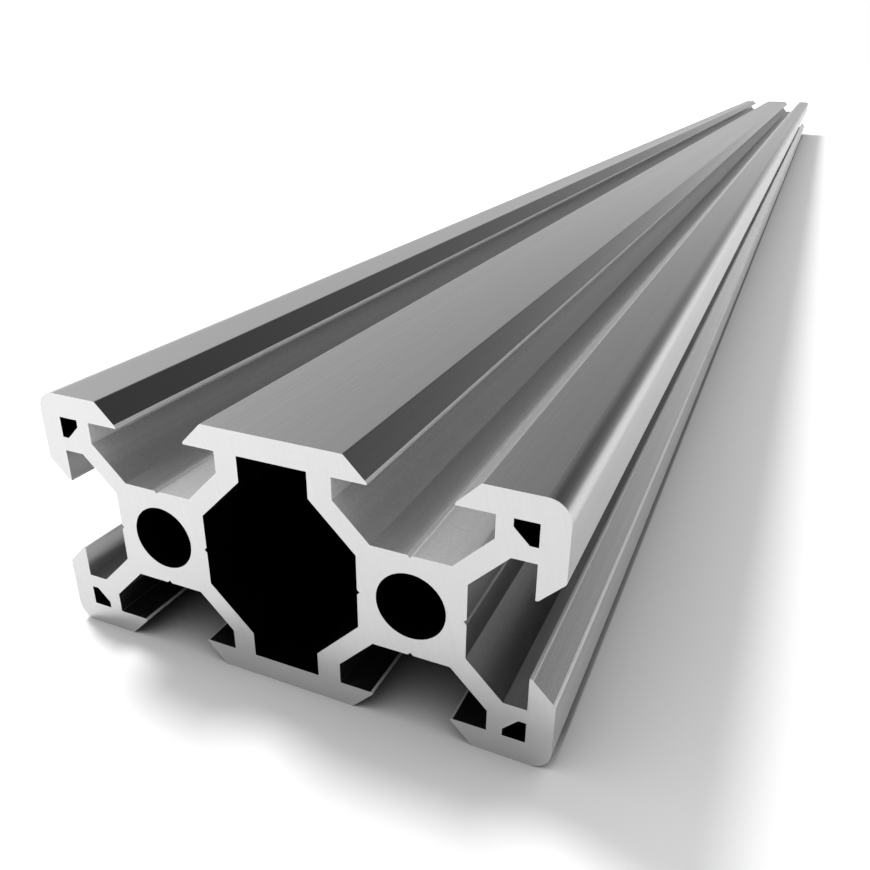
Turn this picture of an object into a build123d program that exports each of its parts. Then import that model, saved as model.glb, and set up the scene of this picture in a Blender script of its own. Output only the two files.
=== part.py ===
from build123d import *
from math import radians, sqrt, tan
import os

# Aluminium T-slot extrusion profile: square modules side by side, in one extruded bar.
# X is the width of the section, Z its height, and the bar lies along Y.
# The origin is at the middle of the underside. All lengths are in millimetres.

# The bar
bar_length = 600.0
module = 20.0
module_count = 2
corner_radius = 1.5

# T-slot: a V-shaped mouth, a neck between two lips, and a wider chamber with sloping flanks
mouth_width = 9.16
neck_width = 5.9
lip_thickness = 1.8
chamber_width = 11.0

# Rounding of the edges on both sides of each mouth, at the surface and at the neck
edge_radius = 0.2

# Square hub in the middle of each module, with a round bore through it
hub_width = 7.8
bore_diameter = 5.0

# Walls round the hollows. The braces run along both diagonals of each module.
outer_wall = 1.8
upright_wall = 1.8
brace_thickness = 1.5

# Small hollow in each outer corner: a right-angled triangle with its two sharp tips cut square
cell_leg = 2.15
cell_wall = 1.1

# Fine V-shaped line down the middle of each flat of a hub
groove_width = 0.4
groove_depth = 0.2

# Worked out from the sizes above
half_module = module / 2
half_width = module * module_count / 2
half_hub = hub_width / 2
half_chamber = chamber_width / 2
brace_offset = brace_thickness / sqrt(2)
mouth_depth = (mouth_width - neck_width) / 2
flank_depth = half_module - half_chamber - brace_offset
slot_depth = half_module - half_hub
half_floor = half_hub - brace_offset
neck_height = lip_thickness - mouth_depth
edge_run = edge_radius * tan(radians(45 / 2))


def centred_row(count):
    """Distances from the middle of the section to count places in a row, a module apart."""
    return [(index - (count - 1) / 2) * module for index in range(count)]


def turned(x, y, angle):
    """A place on the section, turned anticlockwise by an angle in degrees."""
    return Location((x, y, 0), (0, 0, angle))


def t_slot():
    """One T-slot, cut down from the X axis, which is the outer surface of the bar."""
    with BuildSketch() as slot:
        with BuildLine():
            Polyline(
                (0, 0),
                (mouth_width / 2, 0),
                (neck_width / 2, -mouth_depth),
                (0, -mouth_depth),
            )
            mirror(about=Plane.YZ)
        make_face()
        Rectangle(neck_width, flank_depth, align=(Align.CENTER, Align.MAX))
        with BuildLine():
            Polyline(
                (0, -lip_thickness),
                (half_chamber, -lip_thickness),
                (half_chamber, -flank_depth),
                (half_floor, -slot_depth),
                (0, -slot_depth),
            )
            mirror(about=Plane.YZ)
        make_face()
    return slot.sketch


def middle_hollow():
    """The hollow between two modules, which the braces and hubs of both stand round."""
    half_neck = half_module - half_chamber - upright_wall
    half_hollow = half_module - half_hub
    top = half_module - outer_wall
    brace_line = half_module - brace_offset
    with BuildSketch() as hollow:
        with BuildLine():
            Polyline(
                (0, top),
                (half_neck, top),
                (half_neck, brace_line - half_neck),
                (half_hollow, brace_line - half_hollow),
                (half_hollow, 0),
            )
            mirror(about=Plane.YZ)
            mirror(about=Plane.XZ)
        make_face()
    return hollow.sketch


def corner_cell():
    """The hollow in the corner whose outer faces are the X and Y axes."""
    cell_width = half_module - half_chamber - cell_wall - outer_wall
    with BuildSketch() as cell:
        with Locations((-outer_wall, -outer_wall)):
            Rectangle(cell_width, cell_width, align=(Align.MAX, Align.MAX))
            Polygon((0, 0), (-cell_leg, 0), (0, -cell_leg), mode=Mode.INTERSECT)
    return cell.sketch


def hub_groove():
    """A small V cut down from the X axis."""
    with BuildSketch() as groove:
        Polygon((-groove_width / 2, 0), (0, -groove_depth), (groove_width / 2, 0))
    return groove.sketch


module_places = centred_row(module_count)
slot_places = (
    [turned(x, half_module, 0) for x in module_places]
    + [turned(x, -half_module, 180) for x in module_places]
    + [turned(half_width, 0, -90), turned(-half_width, 0, 90)]
)
corner_places = [
    turned(half_width, half_module, 0),
    turned(-half_width, half_module, 90),
    turned(-half_width, -half_module, 180),
    turned(half_width, -half_module, -90),
]


def mouth_corners(vertices):
    """The corners of the section at the sides of each mouth, without those at the neck if it is too low."""
    places = [Pos(mouth_width / 2, 0), Pos(-mouth_width / 2, 0)]
    if neck_height > edge_run:
        places += [Pos(neck_width / 2, -mouth_depth), Pos(-neck_width / 2, -mouth_depth)]
    points = [(slot_place * place).position for slot_place in slot_places for place in places]
    return [vertices.sort_by_distance(point)[0] for point in points]


# The section stands upright across the middle of the bar, and grows both ways along it
section_plane = Plane(origin=(0, 0, half_module), x_dir=(1, 0, 0), z_dir=(0, -1, 0))

with BuildPart() as extrusion_profile:
    with BuildSketch(section_plane) as section:
        RectangleRounded(2 * half_width, 2 * half_module, corner_radius)
        with Locations(*slot_places):
            add(t_slot(), mode=Mode.SUBTRACT)
        with Locations(*corner_places):
            add(corner_cell(), mode=Mode.SUBTRACT)
        for x in centred_row(module_count - 1):
            with Locations((x, 0)):
                add(middle_hollow(), mode=Mode.SUBTRACT)
        for x in module_places:
            with Locations((x, 0)):
                Circle(bore_diameter / 2, mode=Mode.SUBTRACT)
                with PolarLocations(half_hub, 4):
                    add(hub_groove(), rotation=-90, mode=Mode.SUBTRACT)
        fillet(mouth_corners(section.vertices()), edge_radius)
    extrude(amount=bar_length / 2, both=True)

extrusion_profile.part.label = "extrusion_profile"

os.makedirs("parts", exist_ok=True)
export_step(extrusion_profile.part, "parts/extrusion_profile.step")
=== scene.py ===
from math import cos, radians, sin

import bmesh
import bpy
from mathutils import Matrix, Vector


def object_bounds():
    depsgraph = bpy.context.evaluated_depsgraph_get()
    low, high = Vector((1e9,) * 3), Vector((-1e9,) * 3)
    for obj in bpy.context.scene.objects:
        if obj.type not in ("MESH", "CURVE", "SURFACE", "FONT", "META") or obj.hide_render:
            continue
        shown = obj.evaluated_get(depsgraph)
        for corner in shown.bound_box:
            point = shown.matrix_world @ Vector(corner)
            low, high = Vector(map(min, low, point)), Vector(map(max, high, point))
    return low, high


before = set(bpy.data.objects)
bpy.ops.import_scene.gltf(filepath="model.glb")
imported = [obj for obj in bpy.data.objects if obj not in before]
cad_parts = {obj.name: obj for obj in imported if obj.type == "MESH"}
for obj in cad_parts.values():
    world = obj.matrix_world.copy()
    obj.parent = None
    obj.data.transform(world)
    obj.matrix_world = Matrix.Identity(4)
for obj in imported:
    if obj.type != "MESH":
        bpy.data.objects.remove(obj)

# An aluminium extrusion profile lies on a white studio floor, seen from its near cut end.
# Lengths are in metres. The bar lies along Y, and +X is to the picture's right.

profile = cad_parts["extrusion_profile"]
cad_low, cad_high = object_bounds()
near_end = cad_low.y
half_width = (cad_high.x - cad_low.x) / 2
half_height = (cad_high.z - cad_low.z) / 2

# Camera: where it stands from the middle of the near end, where it looks in degrees, its lens in
# millimetres, and how near to it things still show
camera_right = 0.0286
camera_back = 0.0390
camera_height = 0.0419
camera_heading = 23.536
camera_elevation = -24.539
camera_roll = 0.587
camera_lens = 33.765
camera_clip_start = 0.002

# One soft key light from behind and to the left, and daylight that is stronger overhead and on the key's side
daylight_middle = 0.35
daylight_rise = 0.46
daylight_side = 0.34
key_heading = 63.4
key_elevation = 54.0
key_strength = 1.55
key_softness = 13.0

# Tent over the set, which only reflections show: white at the horizon, dark above it, lighter to the left,
# and with a panel right overhead
tent_radius = 15.0
tent_subdivisions = 5
tent_dark = 0.004
tent_panel = 0.45
tent_panel_start = 0.80
tent_horizon = 0.685
tent_horizon_height = 0.07
tent_haze = 0.46
tent_haze_height = 0.30
tent_left = 0.56
tent_left_start = 0.10

# Floor: white, with painted light that makes it a little brighter to the left of the bar than to its right.
# Painted shade darkens the gaps under the bar, and painted shadow lines run where the bar's sides meet it.
floor_size = 40.0
floor_lit = 0.97
# Painted light: seen from the camera and in reflections, the floor is brighter to the left than to the right
floor_seen_left = 1.45
floor_seen_right = 1.08
floor_fade = 0.060
# Painted shade: ambient occlusion darkens the floor's colour in the gaps under the bar
gap_samples = 8
gap_reach = 0.012
gap_open = 0.57
painted_gap_shade = 0.20
# Painted shadow: a dark line on the floor along where the bar's sides meet it
contact_depth = 0.0015
contact_reach = 0.0002
contact_end = 0.004
painted_contact_shade = 0.40

# Places on the section, from its middle, from a module's middle, or in from the outside
module_offset = 0.010
slot_skin_depth = 0.00185
slot_floor = 0.0036
slot_reach = 0.0156
bore_reach = 0.0027
cell_inset = 0.0017
cell_reach = 0.0036
hollow_reach = 0.0115
# The painted light on the top slots' right-facing flanks fades out between these depths
flank_fade = (0.0034, 0.0052)
# Width of the painted highlight lines
edge_reach = 0.00016
groove_reach = 0.00022

# How far a surface has to turn a way, as a part of its unit normal, to take its surface look
# and its painted light and shade
end_turn = 0.5
side_turn = (0.72, 1.0)
chamfer_turn = 0.6
flank_turn = 0.5
level_turn = 0.1

# Lines that run along a slot, where the painted highlights go: how far beside its middle, and how deep
mouth_line = (0.00458, 0.0)
neck_line = (0.00295, 0.00168)
groove_line = (0.0, 0.00615)

# Aluminium: colour, metallic share and roughness of the top faces, and of what is laid over them in turn:
# rougher surfaces, and lighter or darker copies that are painted light and shade
top_finish = ((0.572, 0.573, 0.575, 1.0), 1.0, 0.20)
finishes_and_painted_shading = {
    # Right-facing sides only: rougher, and their slightly lighter colour there is painted light
    "side": ((0.585, 0.586, 0.588, 1.0), 0.95, 0.32),
    # Painted light: chamfers that face left, towards the key light, are a lighter and less metallic copy
    "left_chamfer": ((0.620, 0.621, 0.623, 1.0), 0.42, 0.26),
    # Painted shade: the slots' inner faces are darker, and rougher
    "slot": ((0.400, 0.401, 0.403, 1.0), 0.94, 0.34),
    # Painted light: the top slots, open to the light above, are lighter than the other slots
    "top_slot": ((0.670, 0.671, 0.673, 1.0), 0.66, 0.34),
    # Painted light: the upper part of the top slots' right-facing flanks, fading out with depth
    "flank": ((0.900, 0.901, 0.903, 1.0), 0.20, 0.40),
    # Painted shade: the bottom slots, closed in over the floor, are darker still
    "low_slot": ((0.200, 0.201, 0.202, 1.0), 1.0, 0.34),
    # Painted highlights: bright lines along slot mouths, necks and the top slots' grooves
    "painted_highlight": ((0.850, 0.851, 0.853, 1.0), 0.40, 0.36),
    # Painted shade: near black inside the bores, the corner cells and the middle hollow
    "hollow": ((0.020, 0.020, 0.020, 1.0), 1.0, 0.34),
    "end": ((0.575, 0.576, 0.578, 1.0), 1.0, 0.30),
}

# Marks in the metal: how wide and how long they are, and by how much they change its shade at most
noise_detail = 2.0
die_line = (0.00025, 0.20)
die_line_shade = 0.06
broad_line = (0.0016, 0.50)
broad_line_shade = 0.05
speckle = (0.00022, 0.00022)
speckle_shade = 0.03
slot_speckle_shade = 0.15
end_speckle_shade = 0.025
saw_line = (0.00012, 0.012)
saw_line_shade = 0.05
saw_tilt = 14.0

# What a full change of shade does to the roughness, and how high it would stand
mark_roughness = -0.3
mark_height = 0.00004

# Where a Mix node that mixes colours keeps them among its sockets
mix_colour_inputs = slice(6, 8)
mix_colour_output = 2


def add_node(tree, kind, inputs=None, **settings):
    """Adds a shader node. Each input is a plain value, or another node's output socket."""
    node = tree.nodes.new("ShaderNode" + kind)
    for name, value in settings.items():
        setattr(node, name, value)
    for name, value in (inputs or {}).items():
        if isinstance(value, bpy.types.NodeSocket):
            tree.links.new(value, node.inputs[name])
        else:
            node.inputs[name].default_value = value
    return node


def grey(value):
    """An opaque neutral colour."""
    return (value, value, value, 1.0)


def maths(tree, operation, *values):
    """The output of one Math node."""
    return add_node(tree, "Math", dict(enumerate(values)), operation=operation).outputs[0]


def vector_maths(tree, operation, *values):
    """The vector output of one Vector Math node."""
    return add_node(tree, "VectorMath", dict(enumerate(values)), operation=operation).outputs["Vector"]


def dot(tree, first, second):
    """The dot product of two vectors."""
    return add_node(tree, "VectorMath", {0: first, 1: second}, operation="DOT_PRODUCT").outputs["Value"]


def axes(tree, vector):
    """The three parts of a vector."""
    return add_node(tree, "SeparateXYZ", {"Vector": vector}).outputs


def spread(tree, value, low, high, start=0.0, stop=1.0):
    """A number that goes from low to high while value goes from start to stop."""
    inputs = {"Value": value, "From Min": start, "From Max": stop, "To Min": low, "To Max": high}
    return add_node(tree, "MapRange", inputs).outputs["Result"]


def below(tree, value, limit):
    """1 where value is below limit, else 0."""
    return maths(tree, "LESS_THAN", value, limit)


def above(tree, value, limit):
    """1 where value is above limit, else 0."""
    return maths(tree, "GREATER_THAN", value, limit)


def near(tree, value, target, reach):
    """1 where value is within reach of target, else 0."""
    return maths(tree, "COMPARE", value, target, reach)


def every(tree, *masks):
    """The product of the masks, which is 1 where all of them are 1."""
    result = masks[0]
    for mask in masks[1:]:
        result = maths(tree, "MULTIPLY", result, mask)
    return result


def either(tree, *masks):
    """1 where at least one of the masks is 1."""
    result = masks[0]
    for mask in masks[1:]:
        result = maths(tree, "MAXIMUM", result, mask)
    return result


def mixed_colour(tree, mask, under, over):
    """The colour over where mask is 1, and the colour under elsewhere."""
    node = add_node(tree, "Mix", {0: mask}, data_type="RGBA")
    for socket, value in zip(node.inputs[mix_colour_inputs], (under, over)):
        if isinstance(value, bpy.types.NodeSocket):
            tree.links.new(value, socket)
        else:
            socket.default_value = value
    return node.outputs[mix_colour_output]


def seen_directly(tree):
    """1 for what the camera, glossy and transmission rays see, and 0 for light that falls on things."""
    path = add_node(tree, "LightPath").outputs
    return either(tree, path["Is Camera Ray"], path["Is Glossy Ray"], path["Is Transmission Ray"])


def new_material(name):
    """An empty material and its node tree."""
    material = bpy.data.materials.new(name)
    material.use_nodes = True
    material.node_tree.nodes.clear()
    return material, material.node_tree


def key_direction(elevation):
    """The way towards the key light, or towards the horizon below it."""
    heading = radians(key_heading)
    return Vector((-sin(heading) * cos(elevation), cos(heading) * cos(elevation), sin(elevation)))


def floor_material():
    """A matt white floor, which reads as pure white outside the shadow, with painted light and shade laid on
    it.
    """
    material, tree = new_material("studio_floor")
    place = axes(tree, add_node(tree, "NewGeometry").outputs["Position"])
    # Painted light: the floor's seen colour is brighter to the left of the bar than to its right
    seen_colour = spread(tree, place["X"], floor_seen_left, floor_seen_right, -floor_fade, floor_fade)
    colour = spread(tree, seen_directly(tree), floor_lit, seen_colour)
    # Painted shade: the floor's colour is darkened where ambient occlusion finds it closed in under the bar
    openness = add_node(tree, "AmbientOcclusion", {"Distance": gap_reach}, samples=gap_samples).outputs["AO"]
    gap = spread(tree, openness, painted_gap_shade, 1.0, 0.0, gap_open)
    # Painted shadow: a dark line where the bar's sides meet the floor, fading out near the bar's ends
    outside = maths(tree, "SUBTRACT", maths(tree, "ABSOLUTE", place["X"]), half_width)
    along = maths(tree, "ABSOLUTE", place["Y"])
    ends = spread(tree, along, 1.0, 0.0, cad_high.y - contact_end, cad_high.y)
    contact = every(tree, above(tree, outside, -contact_depth), ends)
    contact = spread(tree, contact, 1.0, spread(tree, outside, painted_contact_shade, 1.0, 0.0, contact_reach))
    colour = every(tree, colour, gap, contact)
    surface = add_node(tree, "BsdfDiffuse", {"Color": colour})
    add_node(tree, "OutputMaterial", {"Surface": surface.outputs[0]})
    return material


def add_floor():
    """The floor that the bar lies on."""
    half = floor_size / 2
    corners = [(-half, -half, 0), (half, -half, 0), (half, half, 0), (-half, half, 0)]
    mesh = bpy.data.meshes.new("floor")
    mesh.from_pydata(corners, [], [(0, 1, 2, 3)])
    mesh.materials.append(floor_material())
    floor = bpy.data.objects.new("floor", mesh)
    floor.location.z = cad_low.z
    bpy.context.collection.objects.link(floor)


def add_world():
    """White all round to look at, with a softer daylight that lights the scene."""
    world = bpy.data.worlds.new("studio")
    world.use_nodes = True
    tree = world.node_tree
    tree.nodes.clear()
    way = add_node(tree, "TexCoord").outputs["Generated"]
    lean = key_direction(0.0) * daylight_side + Vector((0.0, 0.0, daylight_rise))
    daylight = maths(tree, "ADD", dot(tree, way, lean), daylight_middle)
    strength = spread(tree, seen_directly(tree), daylight, 1.0)
    background = add_node(tree, "Background", {"Color": grey(1.0), "Strength": strength})
    add_node(tree, "OutputWorld", {"Surface": background.outputs[0]})
    bpy.context.scene.world = world


def tent_material():
    """Light that fades from the horizon up, and grows again overhead and towards the left."""
    material, tree = new_material("studio_tent")
    place = add_node(tree, "NewGeometry").outputs["Position"]
    way = axes(tree, vector_maths(tree, "NORMALIZE", place))
    strength = spread(tree, way["Z"], tent_dark, tent_panel, tent_panel_start, 1.0)
    for level, height in ((tent_horizon, tent_horizon_height), (tent_haze, tent_haze_height)):
        fade = maths(tree, "EXPONENT", maths(tree, "DIVIDE", way["Z"], -height))
        strength = maths(tree, "MULTIPLY_ADD", fade, level, strength)
    leftness = maths(tree, "MAXIMUM", maths(tree, "SUBTRACT", tent_left_start, way["X"]), 0.0)
    strength = maths(tree, "MULTIPLY_ADD", leftness, tent_left, strength)
    light = add_node(tree, "Emission", {"Color": grey(1.0), "Strength": strength})
    add_node(tree, "OutputMaterial", {"Surface": light.outputs[0]})
    return material


def add_tent():
    """A wide round tent, seen by glossy rays alone."""
    shell = bmesh.new()
    bmesh.ops.create_icosphere(shell, subdivisions=tent_subdivisions, radius=tent_radius)
    mesh = bpy.data.meshes.new("tent")
    shell.to_mesh(mesh)
    shell.free()
    mesh.materials.append(tent_material())
    tent = bpy.data.objects.new("tent", mesh)
    tent.visible_camera = False
    tent.visible_diffuse = False
    tent.visible_transmission = False
    tent.visible_shadow = False
    bpy.context.collection.objects.link(tent)


def add_key_light():
    """A broad sun lamp, which casts the soft shadow to the right and in front."""
    light = bpy.data.lights.new("key", "SUN")
    light.energy = key_strength
    light.angle = radians(key_softness)
    lamp = bpy.data.objects.new("key", light)
    lamp.rotation_mode = "QUATERNION"
    lamp.rotation_quaternion = key_direction(radians(key_elevation)).to_track_quat("Z", "Y")
    bpy.context.collection.objects.link(lamp)


def add_camera():
    """The camera, close to the near end and a little above it."""
    data = bpy.data.cameras.new("camera")
    data.lens = camera_lens
    data.clip_start = camera_clip_start
    camera = bpy.data.objects.new("camera", data)
    camera.location = (camera_right, near_end - camera_back, camera_height)
    turn = (
        Matrix.Rotation(radians(camera_heading), 3, "Z")
        @ Matrix.Rotation(radians(90 + camera_elevation), 3, "X")
        @ Matrix.Rotation(radians(camera_roll), 3, "Z")
    )
    camera.rotation_euler = turn.to_euler()
    bpy.context.collection.objects.link(camera)
    bpy.context.scene.camera = camera


def line_mask(tree, beside, depth, line, reach):
    """1 within reach of a line along the bar, given by its distance beside a slot's middle and its depth."""
    line_beside, line_depth = line
    return every(tree, near(tree, beside, line_beside, reach), near(tree, depth, line_depth, reach))


def section_masks(tree, place, facing):
    """Masks of surface changes and painted light and shade, from a point's place and the way it faces."""
    signed = axes(tree, place)
    size = axes(tree, vector_maths(tree, "ABSOLUTE", place))
    across, up = size["X"], size["Z"]
    turn = axes(tree, facing)
    side_depth = maths(tree, "SUBTRACT", half_width, across)
    top_depth = maths(tree, "SUBTRACT", half_height, up)
    depth = maths(tree, "MINIMUM", side_depth, top_depth)
    beside = maths(tree, "ABSOLUTE", maths(tree, "SUBTRACT", across, module_offset))

    end = above(tree, maths(tree, "ABSOLUTE", turn["Y"]), end_turn)
    # Right-facing sides: rougher, with a slightly lighter colour as painted light
    side = spread(tree, turn["X"], 0.0, 1.0, *side_turn)
    # Painted light: the left-facing chamfers are lighter
    left_chamfer = every(
        tree, below(tree, turn["X"], -chamfer_turn), above(tree, turn["Z"], chamfer_turn)
    )
    # Painted shade: inside the slots the colour is darker
    slot = above(tree, depth, slot_skin_depth)
    upper = every(tree, above(tree, signed["Z"], slot_floor), below(tree, across, slot_reach))
    lower = every(tree, below(tree, signed["Z"], -slot_floor), below(tree, across, slot_reach))
    # Painted light: the top slots are lighter
    top_slot = every(tree, slot, upper, above(tree, turn["Z"], -level_turn))
    # Painted shade: the bottom slots are darker
    low_slot = every(tree, slot, lower, below(tree, turn["Z"], level_turn))
    # Painted light: lighter upper flanks in the top slots, fading to nothing deeper down
    flank_depth = spread(tree, depth, 1.0, 0.0, *flank_fade)
    flank = every(tree, top_slot, above(tree, turn["X"], flank_turn), flank_depth)
    # Painted highlights: thin bright lines along the slots' edges and the top slots' grooves
    painted_highlight = either(
        tree,
        line_mask(tree, beside, top_depth, neck_line, edge_reach),
        line_mask(tree, up, side_depth, neck_line, edge_reach),
        line_mask(tree, up, side_depth, mouth_line, edge_reach),
        every(tree, upper, line_mask(tree, beside, top_depth, groove_line, groove_reach)),
    )

    # Painted shade: the hollows inside the section are painted near black
    from_bore = maths(tree, "SQRT", maths(tree, "MULTIPLY_ADD", up, up, maths(tree, "POWER", beside, 2.0)))
    bore = below(tree, from_bore, bore_reach)
    from_corner = maths(tree, "MAXIMUM", side_depth, top_depth)
    cell = every(tree, below(tree, from_corner, cell_reach), above(tree, depth, cell_inset))
    outward = dot(tree, vector_maths(tree, "MULTIPLY", place, (1.0, 0.0, 1.0)), facing)
    middle = every(tree, below(tree, maths(tree, "ADD", across, up), hollow_reach), below(tree, outward, 0.0))
    hollow = either(tree, bore, cell, middle)
    return {
        "side": side,
        "left_chamfer": left_chamfer,
        "slot": slot,
        "top_slot": top_slot,
        "flank": flank,
        "low_slot": low_slot,
        "painted_highlight": painted_highlight,
        "hollow": hollow,
        "end": end,
    }


def noise(tree, place, size, shade):
    """Noise of a size across the bar and along it, from -shade to shade."""
    width, length = size
    scaled = vector_maths(tree, "MULTIPLY", place, (1 / width, 1 / length, 1 / width))
    inputs = {"Vector": scaled, "Scale": 1.0, "Detail": noise_detail}
    return spread(tree, add_node(tree, "TexNoise", inputs).outputs["Fac"], -shade, shade)


def metal_marks(tree, place, masks):
    """Die lines along the bar, saw lines across its ends, and a speckle that is strongest in the slots."""
    lines = noise(tree, place, die_line, die_line_shade)
    bands = noise(tree, place, broad_line, broad_line_shade)
    specks = noise(tree, place, speckle, 1.0)
    grain = spread(tree, masks["slot"], speckle_shade, slot_speckle_shade)
    skin = maths(tree, "MULTIPLY_ADD", specks, grain, maths(tree, "ADD", lines, bands))

    inputs = {"Vector": place, "Angle": radians(saw_tilt)}
    tilted = add_node(tree, "VectorRotate", inputs, rotation_type="Y_AXIS").outputs["Vector"]
    saw_width, saw_length = saw_line
    stretched = vector_maths(tree, "MULTIPLY", tilted, (1.0, 0.0, saw_width / saw_length))
    saw = noise(tree, stretched, saw_line, saw_line_shade)
    sawn = maths(tree, "MULTIPLY_ADD", specks, end_speckle_shade, saw)
    return spread(tree, masks["end"], skin, sawn)


def aluminium_material():
    """Satin aluminium: smooth outside, rougher in the slots, sawn at the ends, with painted light and shade.
    """
    material, tree = new_material("aluminium")
    coordinates = add_node(tree, "TexCoord").outputs
    middle = (0.0, 0.0, cad_low.z + half_height)
    place = vector_maths(tree, "SUBTRACT", coordinates["Object"], middle)
    masks = section_masks(tree, place, coordinates["Normal"])

    colour, metallic, roughness = top_finish
    # Lays the rougher surfaces and the painted light and shade over the top faces' colour, one by one
    for name, finish_and_shading in finishes_and_painted_shading.items():
        colour = mixed_colour(tree, masks[name], colour, finish_and_shading[0])
        metallic = spread(tree, masks[name], metallic, finish_and_shading[1])
        roughness = spread(tree, masks[name], roughness, finish_and_shading[2])

    marks = metal_marks(tree, place, masks)
    shade = maths(tree, "ADD", marks, 1.0)
    shaded = add_node(tree, "VectorMath", {0: colour, "Scale": shade}, operation="SCALE")
    bump = add_node(tree, "Bump", {"Height": marks, "Distance": mark_height})
    inputs = {
        "Base Color": shaded.outputs["Vector"],
        "Metallic": metallic,
        "Roughness": maths(tree, "MULTIPLY_ADD", marks, mark_roughness, roughness),
        "Normal": bump.outputs["Normal"],
    }
    shader = add_node(tree, "BsdfPrincipled", inputs)
    add_node(tree, "OutputMaterial", {"Surface": shader.outputs[0]})
    return material


add_world()
add_tent()
add_floor()
add_key_light()
add_camera()
profile.material_slots[0].material = aluminium_material()
bpy.context.scene.view_settings.view_transform = "Standard"
bpy.context.scene.cycles.caustics_reflective = False
